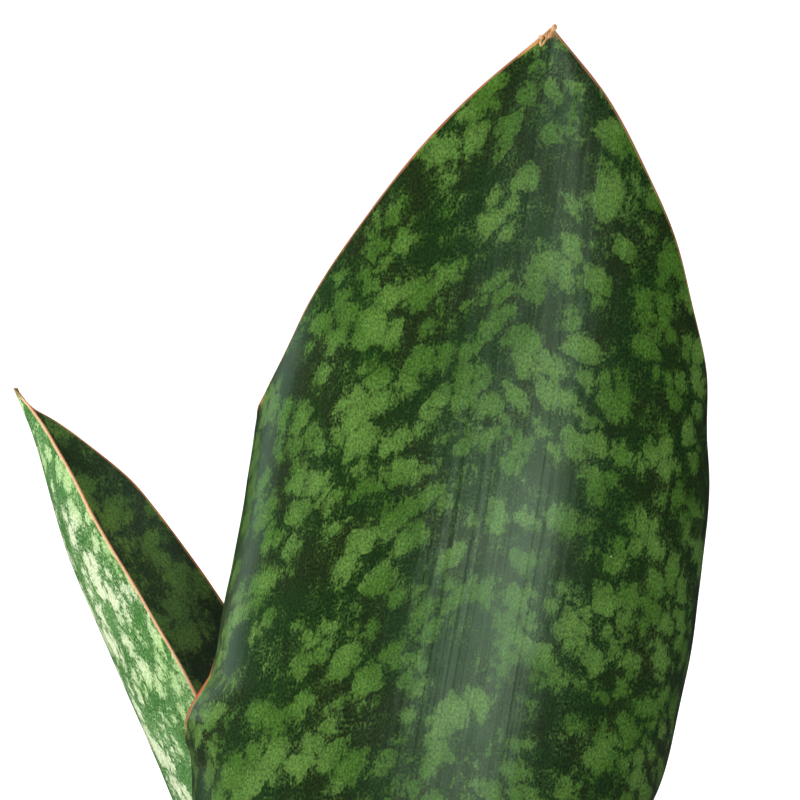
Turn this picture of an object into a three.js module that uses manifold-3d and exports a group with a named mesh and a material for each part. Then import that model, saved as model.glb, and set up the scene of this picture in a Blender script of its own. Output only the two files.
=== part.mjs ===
// Potted snake plant: one plain pot of potting mix, one rhizome with its
// roots, one broad paddle leaf, one narrow folded leaf, and the sheaths that
// wrap the foot of the shoot.
//
// Millimetres, +Z up.  The origin is the centre of the pot's underside, and
// the flat of the broad leaf faces -Y.

import * as THREE from 'three';
import { mergeVertices } from 'three/addons/utils/BufferGeometryUtils.js';
import Module from 'manifold-3d';

const wasm = await Module();
wasm.setup();

// ---------------------------------------------------------------- sizes

const GAP = 0.3; // clear air left between pieces that rest on each other

// Pot
const POT_HEIGHT = 130;
const POT_FOOT_RADIUS = 54;
const POT_RIM_RADIUS = 76;
const POT_RIM_DEPTH = 20;
const POT_RIM_STEP = 3; // how far the rim band stands out from the wall
const POT_WALL = 3;
const POT_FLOOR = 4;
const POT_SEGMENTS = 48;
const DRAIN_COUNT = 6;
const DRAIN_RADIUS = 5;
const DRAIN_RING_RADIUS = 35;

// Potting mix
const SOIL_TOP = 118;
const SOIL_MOUND = 3.5; // extra height round the shoot
const SOIL_MOUND_REACH = 34;
const SOIL_RIPPLE = 0.8;
const SOIL_SEGMENTS = 48;
const SHOOT_HOLLOW_RADIUS = 13; // no mix gets in between the sheathing bases

// Rhizome and roots
const SHOOT_FOOT = 96; // where the leaves stand on the rhizome
const CROWN_RADIUS = 21.5;
const CROWN_BOTTOM = 64;
const CROWN_SEGMENTS = 32;
const STOLON_RADIUS = 8;
const STOLON_LENGTH = 42;
const STOLON_AZIMUTH = -10.5;
const STOLON_HEIGHT = 79;
const STOLON_DROOP = 9;
const STOLON_RINGS = 5;
const ROOT_COUNT = 8;
const ROOT_FIRST_AZIMUTH = 12;
const ROOT_THICK = 2.4;
const ROOT_THIN = 1.0;

// Leaves
const LEAF_MARGIN_THICKNESS = 1.5;
const MAIN_TIP = 580;
const SECOND_TIP = 455.5;

const RAD = Math.PI / 180;

// ---------------------------------------------------------------- helpers

/** A smooth line through [position, value] stations that never overshoots. */
function through(stations) {
  const at = stations.map((s) => s[0]);
  const value = stations.map((s) => s[1]);
  const rise = at.slice(1).map((a, i) => (value[i + 1] - value[i]) / (a - at[i]));
  const slope = value.map((_, i) => {
    if (i === 0) return rise[0];
    if (i === value.length - 1) return rise[i - 1];
    const product = rise[i - 1] * rise[i];
    return product <= 0 ? 0 : (2 * product) / (rise[i - 1] + rise[i]);
  });
  return (x) => {
    const clamped = Math.min(Math.max(x, at[0]), at[at.length - 1]);
    let i = at.findIndex((a, k) => k > 0 && clamped <= a) - 1;
    if (i < 0) i = 0;
    const h = at[i + 1] - at[i];
    const s = (clamped - at[i]) / h;
    return (1 + 2 * s) * (1 - s) ** 2 * value[i] + s * (1 - s) ** 2 * h * slope[i]
      + s * s * (3 - 2 * s) * value[i + 1] + s * s * (s - 1) * h * slope[i + 1];
  };
}

/** A closed solid from a three.js geometry. */
function solidFrom(geometry) {
  const plain = geometry.clone();
  plain.deleteAttribute('normal');
  plain.deleteAttribute('uv');
  const merged = mergeVertices(plain, 1e-4);
  const mesh = new wasm.Mesh({
    numProp: 3,
    vertProperties: new Float32Array(merged.attributes.position.array),
    triVerts: new Uint32Array(merged.index.array),
  });
  const solid = new wasm.Manifold(mesh);
  if (solid.volume() > 0) return solid;
  const flipped = merged.index.array.slice();
  for (let i = 0; i < flipped.length; i += 3) {
    [flipped[i], flipped[i + 1]] = [flipped[i + 1], flipped[i]];
  }
  return new wasm.Manifold(new wasm.Mesh({
    numProp: 3,
    vertProperties: new Float32Array(merged.attributes.position.array),
    triVerts: new Uint32Array(flipped),
  }));
}

/** A three.js geometry from a closed solid. */
function geometryFrom(solid) {
  const mesh = solid.getMesh();
  const geometry = new THREE.BufferGeometry();
  const positions = new THREE.BufferAttribute(new Float32Array(mesh.vertProperties), 3);
  geometry.setAttribute('position', positions);
  geometry.setIndex(new THREE.BufferAttribute(new Uint32Array(mesh.triVerts), 1));
  geometry.computeVertexNormals();
  return geometry;
}

/** A round solid turned about Z from a profile of [radius, z] points. */
function turned(profile, segments) {
  const points = profile.map(([radius, z]) => new THREE.Vector2(radius, z));
  const geometry = new THREE.LatheGeometry(points, segments);
  geometry.rotateX(Math.PI / 2);
  return geometry;
}

/** A closed skin stitched over rings that all hold the same point count. */
function stitched(rings, capTriangles) {
  const count = rings[0].length;
  const positions = rings.flat().flatMap((p) => [p.x, p.y, p.z]);
  const index = [];
  for (let r = 0; r + 1 < rings.length; r += 1) {
    for (let i = 0; i < count; i += 1) {
      const j = (i + 1) % count;
      const a = r * count + i;
      const b = r * count + j;
      index.push(a, b, b + count, a, b + count, a + count);
    }
  }
  const last = (rings.length - 1) * count;
  for (const [a, b, c] of capTriangles(count)) {
    index.push(a, c, b);
    index.push(last + a, last + b, last + c);
  }
  const geometry = new THREE.BufferGeometry();
  geometry.setAttribute('position', new THREE.Float32BufferAttribute(positions, 3));
  geometry.setIndex(index);
  return geometry;
}

/** Cap triangles for a ring made of an outer line and the inner line back. */
function ribbonCap(count) {
  const triangles = [];
  for (let i = 0; i + 1 < count / 2; i += 1) {
    const back = count - 1 - i;
    triangles.push([i, i + 1, back], [i + 1, back - 1, back]);
  }
  return triangles;
}

/** Cap triangles for a small convex ring. */
function fanCap(count) {
  return Array.from({ length: count - 2 }, (_, i) => [0, i + 1, i + 2]);
}

/** A point on the compass round the pot's axis. */
function polar(radius, azimuth, z) {
  return new THREE.Vector3(
    radius * Math.cos(azimuth * RAD),
    radius * Math.sin(azimuth * RAD),
    z,
  );
}

// ---------------------------------------------------------------- leaves

// Each leaf is a channel.  `across` and `deep` carry its midrib, `twist`
// turns the channel's mouth, `left` and `right` are the widths of its halves
// along the surface, and `turnLeft` and `turnRight` say how far each half has
// curled at its margin.  A small `fold` gathers the curl at the midrib; a
// large one keeps the middle flat and curls the margins.  All run with height.

const MAIN_LEAF = {
  foot: SHOOT_FOOT,
  tip: MAIN_TIP,
  across: through([
    [96, 14.5], [165, 12.5], [245, 13], [300, 17], [350, 24],
    [426, 37], [491, 45], [540, 51.5], [580, 58],
  ]),
  deep: through([
    [96, -10.2], [165, -13], [245, -24], [330, -33], [426, -35], [500, -30], [580, -20],
  ]),
  twist: through([[96, 55], [150, 48], [205, 28], [260, 12], [330, 0], [580, 0]]),
  fold: through([
    [96, 1], [165, 1.1], [245, 1.3], [330, 1.55], [400, 1.65], [470, 1.6], [580, 1.4],
  ]),
  left: through([
    [96, 38], [150, 42], [205, 62], [260, 93], [300, 111], [326, 117.5], [338, 116],
    [346, 106.5], [354, 103], [361, 100], [368, 108.5], [380, 120.5], [393, 123], [426, 120],
    [447, 111.5], [458, 98], [491, 73.5], [524, 51], [556, 25.5], [580, 0.6],
  ]),
  right: through([
    [96, 38], [150, 42], [205, 62], [260, 92], [300, 110.5], [340, 118.5], [393, 112.5],
    [426, 101.5], [458, 84.5], [491, 66.5], [524, 47], [556, 24], [580, 0.6],
  ]),
  turnLeft: through([
    [96, 125], [165, 120], [245, 112], [300, 102], [335, 91], [350, 69], [359, 69],
    [368, 88], [380, 104], [400, 110], [430, 104], [448, 94], [456, 80], [480, 60],
    [510, 42], [545, 28], [580, 18],
  ]),
  turnRight: through([
    [96, 125], [165, 120], [245, 115], [330, 108], [400, 100], [440, 84], [470, 64],
    [510, 42], [545, 28], [580, 18],
  ]),
  thick: through([[96, 7], [200, 6.5], [330, 5.5], [450, 4.2], [545, 2.6], [580, 1.6]]),
};

const SECOND_LEAF = {
  foot: SHOOT_FOOT,
  tip: SECOND_TIP,
  across: through([
    [96, -8.5], [130, -10], [165, -14.5], [220, -31], [280, -57], [315, -71.5],
    [363, -93.5], [398, -109], [438, -121.5], [455.5, -129],
  ]),
  deep: through([
    [96, 6.5], [130, 9], [165, 15.5], [220, 36], [280, 62], [328, 80], [393, 97], [455.5, 106],
  ]),
  twist: through([[96, -110], [455.5, -110]]),
  fold: through([[96, 1], [165, 0.9], [245, 0.65], [330, 0.5], [455.5, 0.45]]),
  left: through([
    [96, 17], [150, 22], [205, 33], [260, 45], [320, 56], [350, 58.5],
    [384, 52.3], [418, 37], [437, 19], [444, 11], [449, 4], [455.5, 0.6],
  ]),
  right: through([
    [96, 17], [150, 22], [205, 33], [260, 45], [320, 54], [350, 54.5],
    [384, 48], [418, 34], [437, 17], [448, 7.5], [455.5, 0.6],
  ]),
  turnLeft: through([[96, 125], [165, 105], [245, 72], [330, 60], [426, 56], [455.5, 50]]),
  turnRight: through([
    [96, 125], [165, 105], [245, 82], [300, 78], [354, 76], [385, 73],
    [405, 68], [420, 65], [435, 67], [446, 74], [455.5, 80],
  ]),
  thick: through([[96, 3.6], [200, 3.6], [330, 3.2], [420, 2.6], [455.5, 1.6]]),
};

const CURL_STEPS = 48; // steps used to add up the curl along one half

/** A point of a leaf: `tau` runs -1..1 from margin to margin, `out` lifts it. */
function leafPoint(leaf, z, tau, out) {
  const side = tau < 0 ? -1 : 1;
  const reach = Math.abs(tau);
  const half = side < 0 ? leaf.left(z) : leaf.right(z);
  const turn = (side < 0 ? leaf.turnLeft(z) : leaf.turnRight(z)) * RAD;
  const fold = leaf.fold(z);
  let along = 0;
  let open = 0;
  for (let i = 0; i < CURL_STEPS; i += 1) {
    const angle = turn * (reach * (i + 0.5) / CURL_STEPS) ** fold;
    along += Math.cos(angle) * reach / CURL_STEPS;
    open += Math.sin(angle) * reach / CURL_STEPS;
  }
  const edge = turn * reach ** fold;
  const sideways = side * (half * along + out * Math.sin(edge));
  const mouthward = half * open - out * Math.cos(edge);
  const twist = leaf.twist(z) * RAD;
  return new THREE.Vector3(
    leaf.across(z) + sideways * Math.cos(twist) - mouthward * Math.sin(twist),
    leaf.deep(z) + sideways * Math.sin(twist) + mouthward * Math.cos(twist),
    z,
  );
}

/** Leaf thickness, full at the midrib and thin at the margins. */
function leafThickness(leaf, z, tau) {
  const share = 1 - Math.min(Math.abs(tau), 1) ** 2.4;
  const full = leaf.thick(z);
  const margin = Math.min(LEAF_MARGIN_THICKNESS, full);
  return margin + (full - margin) * share;
}

/** Heights from foot to tip, closing up towards the tip. */
function leafHeights(leaf, rows) {
  return Array.from({ length: rows + 1 }, (_, i) => {
    const t = i / rows;
    const eased = t + 0.12 * Math.sin(Math.PI * t);
    return leaf.foot + (leaf.tip - leaf.foot) * Math.min(eased, 1);
  });
}

/** One leaf's closed skin; `grow` swells it for cutting its own hollow. */
function leafGeometry(leaf, rows, columns, grow = 0, top = leaf.tip) {
  const heights = leafHeights(leaf, rows).filter((z) => z <= top);
  if (grow > 0) heights[0] = leaf.foot - 2 * grow;
  const rings = heights.map((z) => {
    const spread = 1 + grow / Math.max(leaf.left(z), 1);
    const taus = Array.from({ length: columns + 1 }, (_, i) => (2 * i / columns - 1) * spread);
    const outer = taus.map((tau) => leafPoint(leaf, z, tau, grow));
    const inner = taus.map((tau) => leafPoint(leaf, z, tau, -leafThickness(leaf, z, tau) - grow));
    return [...outer, ...inner.reverse()];
  });
  return stitched(rings, ribbonCap);
}

// A sheath lies against a leaf's outer face: it spans `span` either side of
// `middle` at the foot and closes to a point at `top`.

const SHEATHS = [
  { name: 'sheath_front', leaf: MAIN_LEAF, middle: 0.05, span: 0.78, lift: 1.3, thick: 1.3, top: 172 },
  { name: 'sheath_outer', leaf: MAIN_LEAF, middle: -0.3, span: 0.62, lift: 3.4, thick: 1.2, top: 139 },
  { name: 'sheath_back', leaf: SECOND_LEAF, middle: 0.0, span: 0.8, lift: 0.9, thick: 1.2, top: 148 },
];

/** One sheath's closed skin; `grow` swells it for cutting its own hollow. */
function sheathGeometry(sheath, rows, columns, grow = 0) {
  const { leaf, middle, span, lift, thick, top } = sheath;
  const foot = leaf.foot - (grow > 0 ? 2 * grow : 0);
  const rings = Array.from({ length: rows + 1 }, (_, r) => {
    const t = r / rows;
    const z = foot + (top - foot) * t;
    const half = span * Math.max((1 - t ** 2.2) ** 0.8, 0.02) + 1.5 * grow / leaf.left(z);
    const thin = thick * (1 - 0.5 * t);
    const taus = Array.from({ length: columns + 1 }, (_, i) => middle + half * (2 * i / columns - 1));
    const outer = taus.map((tau) => leafPoint(leaf, z, tau, lift + thin + grow));
    const inner = taus.map((tau) => leafPoint(leaf, z, tau, lift - grow));
    return [...outer, ...inner.reverse()];
  });
  return stitched(rings, ribbonCap);
}

// ---------------------------------------------------------------- underground

/** The rhizome's knuckle, with a flat head for the leaves to stand on. */
function crownGeometry(grow = 0) {
  const head = SHOOT_FOOT - GAP + grow;
  return turned([
    [0, CROWN_BOTTOM - grow],
    [CROWN_RADIUS * 0.45 + grow, CROWN_BOTTOM + 1 - grow],
    [CROWN_RADIUS * 0.75 + grow, CROWN_BOTTOM + 7 - grow],
    [CROWN_RADIUS * 0.93 + grow, CROWN_BOTTOM + 16],
    [CROWN_RADIUS + grow, CROWN_BOTTOM + 25],
    [CROWN_RADIUS + grow, head - 2],
    [CROWN_RADIUS - 1.5 + grow, head],
    [0, head],
  ], CROWN_SEGMENTS);
}

/** The rhizome's side shoot: a blunt ringed finger that droops outward. */
function stolonGeometry(grow = 0) {
  const profile = [[0, 0], [STOLON_RADIUS - 1 + grow, 0]];
  for (let i = 0; i < STOLON_RINGS; i += 1) {
    const z = STOLON_LENGTH * (0.3 + 0.55 * i / STOLON_RINGS);
    profile.push([STOLON_RADIUS - 0.9 + grow, z], [STOLON_RADIUS + grow, z + 1.4]);
  }
  profile.push(
    [STOLON_RADIUS * 0.86 + grow, STOLON_LENGTH * 0.88 + grow],
    [STOLON_RADIUS * 0.45 + grow, STOLON_LENGTH * 0.97 + grow],
    [0, STOLON_LENGTH + grow],
  );
  const geometry = turned(profile, 20);
  geometry.rotateY((90 + STOLON_DROOP) * RAD);
  geometry.rotateZ(STOLON_AZIMUTH * RAD);
  geometry.translate(0, 0, STOLON_HEIGHT);
  return geometry;
}

/** A root's run, from inside the rhizome outward and down into the mix. */
function rootPath(i) {
  const azimuth = ROOT_FIRST_AZIMUTH + (360 / ROOT_COUNT) * i;
  const start = 86 - 7 * (i % 2);
  const reach = 43 + 2.5 * ((3 * i) % 4);
  const end = 18 + 8 * ((5 * i) % 3);
  return new THREE.CatmullRomCurve3([
    polar(14, azimuth, start),
    polar(27, azimuth + 2, start - 3),
    polar(reach - 5, azimuth + 9, (start + end) / 2 + 8),
    polar(reach, azimuth + 17, (start + end) / 2 - 8),
    polar(reach - 6, azimuth + 28, end),
  ]);
}

/** A round tapering strand along a path. */
function strandGeometry(path, thick, thin, grow = 0, rows = 10, sides = 6) {
  const frames = path.computeFrenetFrames(rows, false);
  const rings = Array.from({ length: rows + 1 }, (_, r) => {
    const centre = path.getPointAt(r / rows);
    if (r === rows) centre.addScaledVector(frames.tangents[r], grow);
    const radius = thick + (thin - thick) * (r / rows) + grow;
    return Array.from({ length: sides }, (_unused, s) => {
      const angle = (2 * Math.PI * s) / sides;
      return centre.clone()
        .addScaledVector(frames.normals[r], radius * Math.cos(angle))
        .addScaledVector(frames.binormals[r], radius * Math.sin(angle));
    });
  });
  return stitched(rings, fanCap);
}

// ---------------------------------------------------------------- pot and mix

/** Inside radius of the pot at a height. */
function potInside(z) {
  const wallTop = POT_RIM_RADIUS - POT_RIM_STEP;
  const outside = POT_FOOT_RADIUS + (wallTop - POT_FOOT_RADIUS) * z / POT_HEIGHT;
  return outside - POT_WALL;
}

/** The pot: a tapered cup with a rim band and a ring of drain holes. */
function potSolid() {
  const rimFoot = POT_HEIGHT - POT_RIM_DEPTH;
  const wallTop = POT_RIM_RADIUS - POT_RIM_STEP;
  const wallAtRim = potInside(rimFoot) + POT_WALL;
  const cup = turned([
    [0, 0],
    [POT_FOOT_RADIUS - 2, 0],
    [POT_FOOT_RADIUS, 2],
    [wallAtRim, rimFoot],
    [POT_RIM_RADIUS - 1, rimFoot],
    [POT_RIM_RADIUS, rimFoot + 1],
    [POT_RIM_RADIUS, POT_HEIGHT - 1.5],
    [POT_RIM_RADIUS - 1.5, POT_HEIGHT],
    [wallTop - POT_WALL + 1.5, POT_HEIGHT],
    [potInside(POT_HEIGHT - 1.5), POT_HEIGHT - 1.5],
    [potInside(POT_FLOOR + 2), POT_FLOOR + 2],
    [potInside(POT_FLOOR) - 2, POT_FLOOR],
    [0, POT_FLOOR],
  ], POT_SEGMENTS);
  let pot = solidFrom(cup);
  for (let i = 0; i < DRAIN_COUNT; i += 1) {
    const hole = new THREE.CylinderGeometry(DRAIN_RADIUS, DRAIN_RADIUS, 4 * POT_FLOOR, 16);
    hole.rotateX(Math.PI / 2);
    const centre = polar(DRAIN_RING_RADIUS, (360 / DRAIN_COUNT) * i, POT_FLOOR / 2);
    hole.translate(centre.x, centre.y, centre.z);
    pot = pot.subtract(solidFrom(hole));
  }
  return pot;
}

/** Height of the mix's surface: a low mound with soft ripples. */
function soilHeight(x, y) {
  const distance = Math.hypot(x, y);
  const mound = SOIL_MOUND * Math.exp(-((distance / SOIL_MOUND_REACH) ** 2));
  const ripple = SOIL_RIPPLE * Math.sin(x / 9) * Math.cos(y / 11 + 0.6);
  return SOIL_TOP + mound + ripple;
}

/** The potting mix, with room for everything that is buried in it. */
function soilSolid(buried) {
  const profile = [
    [0, POT_FLOOR + GAP],
    [potInside(POT_FLOOR) - 2 - GAP, POT_FLOOR + GAP],
    [potInside(POT_FLOOR + 2) - GAP, POT_FLOOR + 2 + GAP],
    [potInside(SOIL_TOP - 1) - GAP, SOIL_TOP - 1],
  ];
  for (const radius of [64, 56, 48, 40, 32, 24, 16, 8, 0]) profile.push([radius, SOIL_TOP]);
  const body = turned(profile, SOIL_SEGMENTS);
  const position = body.attributes.position;
  for (let i = 0; i < position.count; i += 1) {
    if (Math.abs(position.getZ(i) - SOIL_TOP) < 1e-3) {
      position.setZ(i, soilHeight(position.getX(i), position.getY(i)));
    }
  }
  const hollow = new THREE.CylinderGeometry(
    SHOOT_HOLLOW_RADIUS, SHOOT_HOLLOW_RADIUS, SOIL_TOP, 24,
  );
  hollow.rotateX(Math.PI / 2);
  hollow.translate(0, 0, SHOOT_FOOT - GAP + SOIL_TOP / 2);
  let soil = solidFrom(body).subtract(solidFrom(hollow));
  for (const geometry of buried) soil = soil.subtract(solidFrom(geometry));
  // Crumbs cut loose between the sheaths are left out.
  return soil.decompose().reduce((a, b) => (a.volume() > b.volume() ? a : b));
}

// ---------------------------------------------------------------- assembly

const plant = new THREE.Group();
plant.name = 'potted_snake_plant';

/** Add one named piece with its own material. */
function addPiece(name, geometry, color, roughness) {
  const material = new THREE.MeshStandardMaterial({ color, roughness, metalness: 0 });
  const mesh = new THREE.Mesh(geometry, material);
  mesh.name = name;
  plant.add(mesh);
}

const crownHollow = solidFrom(crownGeometry(GAP));
const stolonHollow = solidFrom(stolonGeometry(GAP));
const rhizome = solidFrom(crownGeometry()).add(solidFrom(stolonGeometry()));
const buried = [
  crownGeometry(GAP),
  stolonGeometry(GAP),
  leafGeometry(MAIN_LEAF, 38, 18, GAP, 170),
  leafGeometry(SECOND_LEAF, 28, 12, GAP, 170),
];

addPiece('pot', geometryFrom(potSolid()), 0xa85f42, 0.75);
addPiece('rhizome', geometryFrom(rhizome), 0xc98a4b, 0.7);
addPiece('leaf_main', leafGeometry(MAIN_LEAF, 38, 18), 0x3f6b2e, 0.4);
addPiece('leaf_second', leafGeometry(SECOND_LEAF, 28, 12), 0x5b8a4a, 0.45);

for (const sheath of SHEATHS) {
  addPiece(sheath.name, sheathGeometry(sheath, 9, 12), 0x8a8a4c, 0.65);
  buried.push(sheathGeometry(sheath, 9, 12, GAP));
}

for (let i = 0; i < ROOT_COUNT; i += 1) {
  const path = rootPath(i);
  const root = solidFrom(strandGeometry(path, ROOT_THICK, ROOT_THIN))
    .subtract(crownHollow)
    .subtract(stolonHollow);
  addPiece(`root_${i + 1}`, geometryFrom(root), 0xd9b98a, 0.8);
  buried.push(strandGeometry(path, ROOT_THICK, ROOT_THIN, GAP));
}

addPiece('potting_mix', geometryFrom(soilSolid(buried)), 0x33241a, 0.95);

export default plant;
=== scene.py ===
"""Visual model of a potted snake plant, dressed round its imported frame.

The broad paddle leaf and the folded leaf are grown from the same curves as
their solids.  Everything is in metres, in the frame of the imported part: the
origin is the centre of the pot's underside, and +Z is up.
"""

import logging
import math
from dataclasses import dataclass, field
from enum import Enum
from typing import Sequence, Union

import bmesh
import bpy
import numpy as np
from mathutils import Matrix, Vector


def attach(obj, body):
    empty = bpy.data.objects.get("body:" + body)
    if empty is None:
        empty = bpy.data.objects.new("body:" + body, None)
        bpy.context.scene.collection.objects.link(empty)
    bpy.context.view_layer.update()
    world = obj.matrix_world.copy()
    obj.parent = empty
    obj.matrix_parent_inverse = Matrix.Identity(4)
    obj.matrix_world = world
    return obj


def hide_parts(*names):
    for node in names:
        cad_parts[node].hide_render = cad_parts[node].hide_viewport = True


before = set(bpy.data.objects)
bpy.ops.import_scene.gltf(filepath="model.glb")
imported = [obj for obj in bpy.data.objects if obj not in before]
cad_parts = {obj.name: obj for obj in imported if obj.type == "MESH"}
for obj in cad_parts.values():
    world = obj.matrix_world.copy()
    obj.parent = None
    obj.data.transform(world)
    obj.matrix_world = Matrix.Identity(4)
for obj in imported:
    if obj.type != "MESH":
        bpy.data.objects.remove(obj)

LOG = logging.getLogger("snake_plant")
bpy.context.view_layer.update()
BODY = "root"
MM = 0.001

Triple = tuple[float, float, float]
Colour = Triple
Place = Triple
Socket = bpy.types.NodeSocket
Value = Union[float, Socket]
Node = bpy.types.Node
Piece = bpy.types.Object
Material = bpy.types.Material
Faces = Sequence[Sequence[int]]

BLACK: Colour = (0.0, 0.0, 0.0)
WHITE: Colour = (1.0, 1.0, 1.0)


# ------------------------------------------------------------------ tools


def linear(red: int, green: int, blue: int) -> Colour:
    """Turn a display colour of 0 to 255 into the linear colour that light uses.

    Args:
        red: Red, 0 to 255.
        green: Green, 0 to 255.
        blue: Blue, 0 to 255.

    Returns:
        The linear colour, 0 to 1 in each channel.
    """

    def channel(level: int) -> float:
        """Undo the display curve for one channel."""
        share = level / 255
        return share / 12.92 if share <= 0.04045 else ((share + 0.055) / 1.055) ** 2.4

    return channel(red), channel(green), channel(blue)


class SmoothLine:
    """A smooth line through (position, value) stations that never overshoots."""

    def __init__(self, *stations: tuple[float, float]) -> None:
        """Work out the slope at each station.

        Args:
            *stations: Pairs of position and value, in rising position.
        """
        self.at = np.array([s[0] for s in stations], float)
        self.value = np.array([s[1] for s in stations], float)
        rise = np.diff(self.value) / np.diff(self.at)
        slope = np.empty(len(stations))
        slope[0], slope[-1] = rise[0], rise[-1]
        before, after = rise[:-1], rise[1:]
        product = before * after
        total = np.where(before + after == 0, 1.0, before + after)
        slope[1:-1] = np.where(product <= 0, 0.0, 2 * product / total)
        self.slope = slope

    def __call__(self, position: np.ndarray) -> np.ndarray:
        """Read the line.

        Args:
            position: Where to read it; beyond the ends it stays level.

        Returns:
            The values there.
        """
        at = np.clip(np.asarray(position, float), self.at[0], self.at[-1])
        i = np.clip(np.searchsorted(self.at, at, side="right") - 1, 0, len(self.at) - 2)
        h = self.at[i + 1] - self.at[i]
        s = (at - self.at[i]) / h
        return (
            (1 + 2 * s) * (1 - s) ** 2 * self.value[i]
            + s * (1 - s) ** 2 * h * self.slope[i]
            + s * s * (3 - 2 * s) * self.value[i + 1]
            + s * s * (s - 1) * h * self.slope[i + 1]
        )


class Graph:
    """A node tree written in plain steps, each of which returns a socket."""

    def __init__(self, tree: bpy.types.NodeTree) -> None:
        """Take a tree to write into."""
        self.tree = tree

    def feed(self, socket: Socket, value: object) -> None:
        """Link a socket to another, or give it a plain value.

        Args:
            socket: The input.
            value: The output that it is linked to, or the value that it takes.
        """
        if isinstance(value, bpy.types.NodeSocket):
            self.tree.links.new(value, socket)
        elif isinstance(value, tuple) and len(value) == 3 and socket.type == "RGBA":
            socket.default_value = (*value, 1.0)
        else:
            socket.default_value = value

    def node(
        self, kind: str, given: Union[Sequence[object], dict[Union[int, str], object]] = (),
        **settings: object,
    ) -> Node:
        """Add a node.

        Args:
            kind: Blender's name for the node type.
            given: What goes into it, in the order of its inputs, or by their
                names or numbers.
            **settings: Properties to set on it first.

        Returns:
            The new node.
        """
        node = self.tree.nodes.new(kind)
        for name, setting in settings.items():
            setattr(node, name, setting)
        for key, value in given.items() if isinstance(given, dict) else enumerate(given):
            self.feed(node.inputs[key], value)
        return node

    def math(self, operation: str, a: Value, b: Value = 0.0, c: Value = 0.0) -> Socket:
        """Do one sum, by Blender's name for it."""
        return self.node("ShaderNodeMath", (a, b, c), operation=operation).outputs[0]

    def smooth(
        self, value: Value, low: float, high: float, to_low: float = 0.0, to_high: float = 1.0
    ) -> Socket:
        """Ease a value from one level to another as it passes a range.

        Args:
            value: The value to read.
            low: Where the range starts.
            high: Where the range ends.
            to_low: Result at the start.
            to_high: Result at the end.

        Returns:
            The eased value.
        """
        given = (value, low, high, to_low, to_high)
        return self.node("ShaderNodeMapRange", given, interpolation_type="SMOOTHSTEP").outputs[0]

    def vector(self, operation: str, *given: object) -> Node:
        """Add a vector sum, by Blender's name for it."""
        return self.node("ShaderNodeVectorMath", given, operation=operation)

    def scaled(self, vector: Socket, scale: Triple, shift: Triple = (0.0, 0.0, 0.0)) -> Socket:
        """Stretch a coordinate along each axis, and then shift it."""
        return self.vector("MULTIPLY_ADD", vector, scale, shift).outputs[0]

    def noise(self, vector: Socket, scale: float, detail: float = 2.0, rough: float = 0.5) -> Node:
        """Add a cloud pattern.

        Args:
            vector: Coordinate it reads, in metres.
            scale: Clouds to the metre.
            detail: How many finer layers it has.
            rough: How strong the finer layers are.

        Returns:
            The node; output 0 is the value and output 1 the colour.
        """
        given = {"Vector": vector, "Scale": scale, "Detail": detail, "Roughness": rough}
        return self.node("ShaderNodeTexNoise", given, noise_dimensions="3D")

    def cloud(self, vector: Socket, scale: float, detail: float = 2.0, rough: float = 0.5) -> Socket:
        """Return the value of a cloud pattern, 0 to 1."""
        return self.noise(vector, scale, detail, rough).outputs[0]

    def cells(self, vector: Socket, scale: float, loose: float = 1.0) -> Node:
        """Add a cell pattern.

        Args:
            vector: Coordinate it reads, in metres.
            scale: Cells to the metre.
            loose: How far the cells are from a plain grid.

        Returns:
            The node; output 0 is the distance.
        """
        given = {"Vector": vector, "Scale": scale, "Randomness": loose}
        return self.node("ShaderNodeTexVoronoi", given, feature="F1")

    def mix(self, share: Value, a: object, b: object, blend: str = "MIX") -> Socket:
        """Mix two colours.

        Args:
            share: How much of the second, 0 to 1.
            a: First colour.
            b: Second colour.
            blend: Blender's name for the way they mix.

        Returns:
            The mixed colour.
        """
        given = {0: share, 6: a, 7: b}
        return self.node("ShaderNodeMix", given, data_type="RGBA", blend_type=blend).outputs[2]

    def shade(self, colour: Socket, pattern: Socket, share: float) -> Socket:
        """Darken a colour softly where a pattern is low, and lighten it where it is high.

        Args:
            colour: The colour.
            pattern: The pattern, 0 to 1.
            share: How much of it shows.

        Returns:
            The shaded colour.
        """
        return self.mix(share, colour, self.mix(pattern, BLACK, WHITE), "SOFT_LIGHT")

    def warped(self, vector: Socket, scale: float, reach: float, detail: float = 1.0) -> Socket:
        """Push a coordinate about so that a pattern loses its regular look.

        Args:
            vector: The coordinate.
            scale: Pushes to the metre.
            reach: How far it is pushed, in metres.
            detail: How many finer layers the push has.

        Returns:
            The pushed coordinate.
        """
        push = self.noise(vector, scale, detail).outputs[1]
        centred = self.scaled(push, (reach,) * 3, (-reach / 2,) * 3)
        return self.vector("ADD", vector, centred).outputs[0]

    def relief(self, *layers: tuple[Socket, float]) -> Socket:
        """Turn heights into a surface normal, each laid over the one before.

        Args:
            *layers: Each height, 0 to 1, and how deep 1 is, in metres.

        Returns:
            The normal.
        """
        normal = {}
        for height, depth in layers:
            given = {"Strength": 1.0, "Distance": depth, "Height": height, **normal}
            normal = {"Normal": self.node("ShaderNodeBump", given).outputs[0]}
        return normal["Normal"]


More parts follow.
